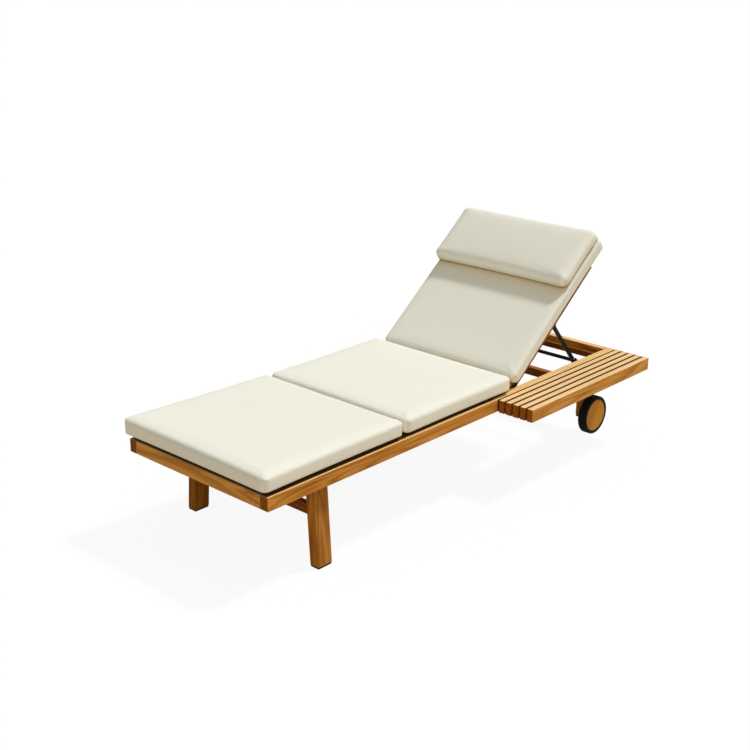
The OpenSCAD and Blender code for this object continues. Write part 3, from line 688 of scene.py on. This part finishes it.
def prop_collars():
    """A collar on the crossbar outside each arm. Its bright clamping screw points up and to the foot."""
    arms = [np.array(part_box("prop_arm_near")), np.array(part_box("prop_arm_far"))]
    half, radius, chamfer, clearance, sunk = 0.0045, 0.0115, 0.001, 0.0002, 0.0002
    ring = np.array([(bar_radius, -half), (radius - chamfer, -half), (radius, -half + chamfer),
                     (radius, half - chamfer), (radius - chamfer, half), (bar_radius, half),
                     (bar_radius, -half)])
    places = [placed_at(bar_centre[0], y + side * (half + clearance), bar_centre[2])
              for y, side in ((arms[0][0][1], -1), (arms[1][1][1], 1))]
    lathe("prop_collars", ring, places, 40, STEEL, "prop", "black_steel")
    screws = []
    for place in places:
        lean = np.eye(4)
        lean[:3, 0], lean[:3, 1], lean[:3, 2] = (0, 1, 0), (-0.6, 0, 0.8), (0.8, 0, 0.6)
        lean[:3, 3] = place[:3, 3] + (radius - sunk) * lean[:3, 1]
        screws.append(lean)
    lathe("prop_collar_screws", pan_head(0.0032, 0.0022), screws, 20, BOLT_STEEL, "prop", "black_steel")


def back_screws():
    """A countersunk screw through each stile into each slat but the first, seen from behind."""
    slats = [node_points(f"back_slat_{i}", BACK)[:, 0] for i in range(2, 7)]
    under = node_points("back_stile_near", BACK)[:, 2].min()
    stiles = [node_points(n, BACK)[:, 1].mean() for n in ("back_stile_near", "back_stile_far")]
    downwards = np.eye(4)
    downwards[:3, 1], downwards[:3, 2] = (0, 0, -1), (0, 1, 0)
    places = [placed_at((slat.min() + slat.max()) / 2, y, under, BACK) @ downwards
              for slat in slats for y in stiles]
    head = np.array([(0.0046, -0.0002), (0.0044, 0.0003), (0.0016, 0.0004), (0.0012, -0.0002),
                     (0.0, -0.0003)])
    lathe("back_screws", head, places, 24, BOLT_STEEL, "back", "black_steel")


def shelf_fillers():
    """Timber rings around the rods in the shelf's gaps, and blocks that close the gaps at the head end."""
    points = node_points("shelf_spacers")
    head, block_zone, rod_pitch_least = points[:, 0].max(), 0.03, 0.05
    blocks, rings = points[points[:, 0] > head - block_zone], points[points[:, 0] < head - block_zone]
    gaps = np.unique(np.round(blocks[blocks[:, 0] > head - TOLERANCE, 1], 5)).reshape(-1, 2)
    for number, (low, high) in enumerate(gaps, 1):
        block = blocks[(blocks[:, 1] > low - TOLERANCE) & (blocks[:, 1] < high + TOLERANCE)]
        board(f"shelf_end_block_{number}", block, X, LEVEL, TEAK, "frame", "teak", ease=BLOCK_EASE)
    along = np.unique(np.round(rings[:, 0], 5))
    rods = np.split(along, np.flatnonzero(np.diff(along) > rod_pitch_least) + 1)
    middle, radius = (rings[:, 2].min() + rings[:, 2].max()) / 2, np.ptp(rings[:, 2]) / 2
    half, bore = (gaps[0, 1] - gaps[0, 0]) / 2, 0.004
    ring = np.array([(bore, -half), (radius, -half), (radius, half), (bore, half), (bore, -half)])
    places = [placed_at((rod.min() + rod.max()) / 2, (low + high) / 2, middle)
              for rod in rods for low, high in gaps]
    lathe("shelf_spacer_rings", ring, places, 32, TEAK_UNDER, "frame", "teak", "shelf_spacers")


prop_collars()
back_screws()
shelf_fillers()


# Cushions

COVER_PITCH = 0.0085
SIDE_DRAW, DRAW_POWER = 0.003, 10  # the higher the power, the closer to its side the draw stays
CLOTH_FRAMES = 20
SEAM_REACH, UNDERSIDE = 0.002, 0.0015  # what lies this near a seam, or this low, is held
# Soiling with painted contact shade reaches this far in from a cushion's sides.
SOILING_AND_SHADE_INWARDS = 0.012
# Tan staining with painted warm shade fades over the first length towards the foot, and reaches the second
# length in under the pillow.
STAIN_AND_SHADE_LENGTH, STAIN_AND_SHADE_BEHIND = 0.026, 0.03


def steps_across(low, high, low_edge, high_edge, pitch):
    """Places from low to high: close together within the rounded edges, about a pitch apart between them."""
    turn = 1 - np.tan(np.linspace(0, math.pi / 4, 5))
    count = max(2, round((high - high_edge - low - low_edge) / pitch) + 1)
    between = np.linspace(low + low_edge, high - high_edge, count)
    return np.concatenate([(low + low_edge * turn)[:0:-1], between, (high - high_edge * turn)[1:]])


def cushion_form(size, crown, corner, top_edge, low_edge):
    """A cushion on its seat. A point p of a box's surface goes to c + r n, where c is p kept inside the box
    less its roundings r = (corner, corner, edge), and n the unit vector along (p - c) / r. Then the top rises
    by crown (1 - sx^2)(1 - sy^2), and each side draws in by SIDE_DRAW (1 - s^2) between its corners."""
    half = np.array(size) / 2
    low_reach, high_reach = np.array([corner, corner, low_edge]), np.array([corner, corner, top_edge])
    xs, ys, zs = (steps_across(-h, h, a, b, COVER_PITCH) for h, a, b in zip(half, low_reach, high_reach))
    sheets, faces, count = [], [], 0
    for axis, (us, vs) in enumerate(((ys, zs), (zs, xs), (xs, ys))):
        for side in (-1, 1):
            u, v = np.meshgrid(us, vs, indexing="ij")
            sheet = np.empty(u.shape + (3,))
            sheet[..., axis], sheet[..., (axis + 1) % 3], sheet[..., (axis + 2) % 3] = side * half[axis], u, v
            at = np.arange(u.size).reshape(u.shape) + count
            quads = np.stack([at[:-1, :-1], at[1:, :-1], at[1:, 1:], at[:-1, 1:]], axis=2)
            faces.append(quads.reshape(-1, 4)[:, ::side])
            sheets.append(sheet.reshape(-1, 3))
            count += u.size
    points = np.concatenate(sheets)
    kept = np.clip(points, low_reach - half, half - high_reach)
    reach = np.where(points[:, 2:] < 0, low_reach, high_reach)
    away = (points - kept) / reach
    points = kept + reach * away / np.linalg.norm(away, axis=1, keepdims=True)
    share = points / half
    points[:, 2] += crown * (share[:, 2] > 0.5) * (1 - share[:, 0] ** 2) * (1 - share[:, 1] ** 2)
    for axis, other in ((0, 1), (1, 0)):
        on_side = np.sign(share[:, axis]) * np.abs(share[:, axis]) ** DRAW_POWER
        points[:, axis] -= on_side * SIDE_DRAW * (1 - share[:, other] ** 2)
    points[:, 2] += half[2]
    return points, np.concatenate(faces)


def evaluated(piece):
    depsgraph = bpy.context.evaluated_depsgraph_get()
    return bpy.data.meshes.new_from_object(piece.evaluated_get(depsgraph))


def subdivided(mesh):
    """The mesh after one subdivision, as a new mesh."""
    piece = show("work", mesh)
    modifier = piece.modifiers.new("work", "SUBSURF")
    modifier.levels = modifier.render_levels = 1
    bpy.context.view_layer.update()
    result = evaluated(piece)
    bpy.data.objects.remove(piece)
    return result


def swollen(mesh, held, travel):
    """Fills the cover from inside with air and lets each point move by at most the travel. The held points,
    on the seams and under the cushion, stay."""
    piece = show("cover", mesh)
    group = piece.vertex_groups.new(name="held")
    group.add([int(i) for i in np.flatnonzero(held)], 1.0, "REPLACE")
    cloth = piece.modifiers.new("cover", "CLOTH")
    cloth.settings.vertex_group_mass = "held"
    cloth.settings.use_pressure = True
    cloth.settings.uniform_pressure_force = 4.0
    cloth.settings.effector_weights.gravity = 0.0
    cloth.settings.quality = 4
    cloth.settings.mass = 0.3
    cloth.point_cache.frame_start, cloth.point_cache.frame_end = 1, CLOTH_FRAMES
    for number in range(1, CLOTH_FRAMES + 1):
        bpy.context.scene.frame_set(number)
    start, end = mesh_points(mesh), mesh_points(evaluated(piece))
    bpy.data.objects.remove(piece)
    bpy.context.scene.frame_set(1)
    step = end - start
    length = np.linalg.norm(step, axis=1, keepdims=True)
    return start + step * np.minimum(1, travel / np.maximum(length, 1e-9))


def edge_soiling_and_shade(own, size, height):
    """Soiling with painted contact shade along the lower edge: full up to a fifth of the height, gone at 1.2
    times it and under the cushion."""
    inwards = (size[:2] / 2 - np.abs(own[:, :2])).min(axis=1)
    return np.clip(1.2 - own[:, 2] / height, 0, 1) * np.clip(2 - inwards / SOILING_AND_SHADE_INWARDS, 0, 1)


def pillow_stain_and_shade(own, foot_side, from_height):
    """Tan staining with painted warm shade on top, where a pillow's foot side rests. It fades out towards the
    cushion's foot.
    """
    below = foot_side - own[:, 0]
    stain_and_shade = 0.5 * np.exp(-np.maximum(below, 0) / STAIN_AND_SHADE_LENGTH) * (below > -STAIN_AND_SHADE_BEHIND)
    return stain_and_shade * (own[:, 2] > from_height)


def cushion(node, body, place, crown, corner, top_edge, low_edge=0.007, travel=0.002, lift=0.0,
            trim=0.0, flare=0.0, rise=0.0, under=None, soiling_and_shade_height=0.005, piped=True):
    """A cushion in the place of its node: thicker than the node's solid by the lift, short of its foot end by
    the trim, and with its far side standing out by the flare, and up by the rise, at the foot end. It lies
    under the pillow node that is named, with tan staining and painted warm shade where the pillow rests, and
    has soiling with painted contact shade of the given height along its lower edge. A piped cushion's upper
    edge is held by its seam."""
    points = node_points(node, place)
    low, high = points.min(0), points.max(0)
    low[0] += trim
    size = high - low
    size[2] += lift - crown
    small = size - (travel, travel, travel / 2)
    seam_top, seam_low = small[2] - top_edge, low_edge
    cover = new_mesh(node, *cushion_form(small, crown, corner, top_edge, low_edge))
    own = merged(cover)
    on_side = (np.abs(own[:, :2]) > small[:2] / 2 - 0.7 * corner).any(axis=1)
    at_top, at_low = (np.abs(own[:, 2] - seam) < SEAM_REACH for seam in (seam_top, seam_low))
    held = (on_side & ((piped & at_top) | at_low)) | (own[:, 2] < UNDERSIDE)
    own = swollen(cover, held, travel)
    own[:, 2] = np.maximum(own[:, 2], 0)
    set_points(cover, own)
    cover = subdivided(cover)
    own = mesh_points(cover)
    own[:, 2] = np.maximum(own[:, 2], 0)
    give(cover, "cloth", own)
    corner_gap = (np.abs(own[:, 0]) - small[0] / 2) - (np.abs(own[:, 1]) - small[1] / 2)
    give(cover, "seams", np.stack([corner_gap, own[:, 2] - seam_top, own[:, 2] - seam_low], axis=1))
    middle = np.array([(low[0] + high[0]) / 2, (low[1] + high[1]) / 2, low[2]])
    # Soiling with painted contact shade along the lower edge.
    soil = edge_soiling_and_shade(own, size, soiling_and_shade_height)
    # Tan staining with painted warm shade where the pillow rests.
    if under:
        foot_side = node_points(under, place)[:, 0].min() - middle[0]
        soil = np.maximum(soil, pillow_stain_and_shade(own, foot_side, seam_top + 0.6 * top_edge))
    cover.attributes.new("soil", "FLOAT", "POINT").data.foreach_set("value", soil.astype(np.float32))
    far_foot = (0.5 - own[:, 0] / size[0]) * (0.5 + own[:, 1] / size[1])
    own[:, 1] += flare * far_foot
    own[:, 2] += rise * far_foot * own[:, 2] / size[2]
    set_points(cover, moved(place, own + middle))
    set_smooth(cover)
    piece = add_piece(node + "_cover", cover, CANVAS, body, "canvas", node)


cushion("foot_cushion", "frame", LEVEL, crown=0.004, corner=0.024, top_edge=0.015, lift=0.005, flare=0.025,
        rise=0.006)
cushion("seat_cushion", "frame", LEVEL, crown=0.004, corner=0.022, top_edge=0.015, lift=0.004)
cushion("back_cushion", "back", BACK, crown=0.003, corner=0.020, top_edge=0.016, travel=0.0015,
        under="head_pillow")
cushion("head_pillow", "back", BACK, crown=0.008, corner=0.030, top_edge=0.022, low_edge=0.006,
        trim=0.006, soiling_and_shade_height=0.019, piped=False)


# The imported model's own nodes that keep their shape

for node in ("shelf_rods", "racks", "hinge_pins", "axles", "prop_brackets", "prop_bolts", "prop_arm_near",
             "prop_arm_far"):
    wear(frame["nodes"][node].data, STEEL)
wear(frame["nodes"]["leg_pads"].data, PADS)


# Floor, light and camera

def seen_directly(f):
    """1 for a ray from the camera, or one that mirrors or passes through to the background."""
    path = f.node("LightPath", output="Is Camera Ray")
    return path.most(path.out("Is Glossy Ray")).most(path.out("Is Transmission Ray"))


def lay_floor():
    """Pale paper to the camera, which keeps the shadow; a warmer ground to the light that bounces off it."""
    side = 60.0
    corners = np.array([(-side, -side, 0), (side, -side, 0), (side, side, 0), (-side, side, 0)], float)
    floor = show("floor", new_mesh("floor", corners, [(0, 1, 2, 3)]))
    material, f = new_finish("floor")
    ground = f.node("BsdfDiffuse", {}, {"Color": (0.44, 0.38, 0.27)})
    glow = f.node("Emission", {}, {"Color": (1, 1, 1), "Strength": 0.925})
    paper = f.node("AddShader", {}, {0: glow, 1: f.node("BsdfDiffuse", {}, {"Color": (0.08, 0.08, 0.08)})})
    both = f.node("MixShader", {}, {0: seen_directly(f), 1: ground, 2: paper})
    f.node("OutputMaterial", {}, {"Surface": both})
    floor.data.materials.append(material)


def light_world():
    world = bpy.data.worlds.new("studio")
    world.use_nodes = True
    bpy.context.scene.world = world
    f = Finish(world.node_tree)
    sky = f.node("Background", {}, {"Color": (1.0, 0.985, 0.90), "Strength": 0.27})
    backdrop = f.node("Background", {}, {"Color": (1, 1, 1), "Strength": 1.0})
    both = f.node("MixShader", {}, {0: seen_directly(f), 1: sky, 2: backdrop})
    f.node("OutputWorld", {}, {"Surface": both})


def placed_along(right, up, backwards, origin):
    """The matrix of an object that looks along -Z: its three axes and its origin."""
    columns = np.column_stack([right, up, backwards, origin])
    return Matrix(np.vstack([columns, (0, 0, 0, 1)]).tolist())


def light_from(name, towards, level, softness, colour):
    """A distant lamp, its softness in degrees. A white face square to it is as bright as the level."""
    lamp = bpy.data.lights.new(name, "SUN")
    lamp.energy, lamp.angle, lamp.color = level * math.pi, math.radians(softness), colour
    z = np.array(towards) / np.linalg.norm(towards)
    x = np.cross((0, 0, 1), z)
    x /= np.linalg.norm(x)
    show(name, lamp).matrix_world = placed_along(x, np.cross(z, x), z, 3 * z)


def set_camera():
    """The camera looks along d, with r to its right and u up, turned by the roll about d."""
    data = bpy.data.cameras.new("camera")
    data.sensor_width = SENSOR
    data.lens = SENSOR * FOCAL_PIXELS / FRAME_PIXELS
    camera = show("camera", data)
    level = math.cos(CAMERA_PITCH)
    d = np.array([level * math.cos(CAMERA_YAW), level * math.sin(CAMERA_YAW), -math.sin(CAMERA_PITCH)])
    r = np.array([math.sin(CAMERA_YAW), -math.cos(CAMERA_YAW), 0])
    u = np.cross(r, d)
    right = math.cos(CAMERA_ROLL) * r + math.sin(CAMERA_ROLL) * u
    up = -math.sin(CAMERA_ROLL) * r + math.cos(CAMERA_ROLL) * u
    camera.matrix_world = placed_along(right, up, -d, CAMERA_AT)
    bpy.context.scene.camera = camera


lay_floor()
light_world()
light_from("key", SUN_TOWARDS, level=0.76, softness=7, colour=(1.0, 0.99, 0.965))
light_from("fill", FILL_TOWARDS, level=0.27, softness=50, colour=(1.0, 0.965, 0.87))
set_camera()
bpy.context.scene.view_settings.view_transform = "Standard"
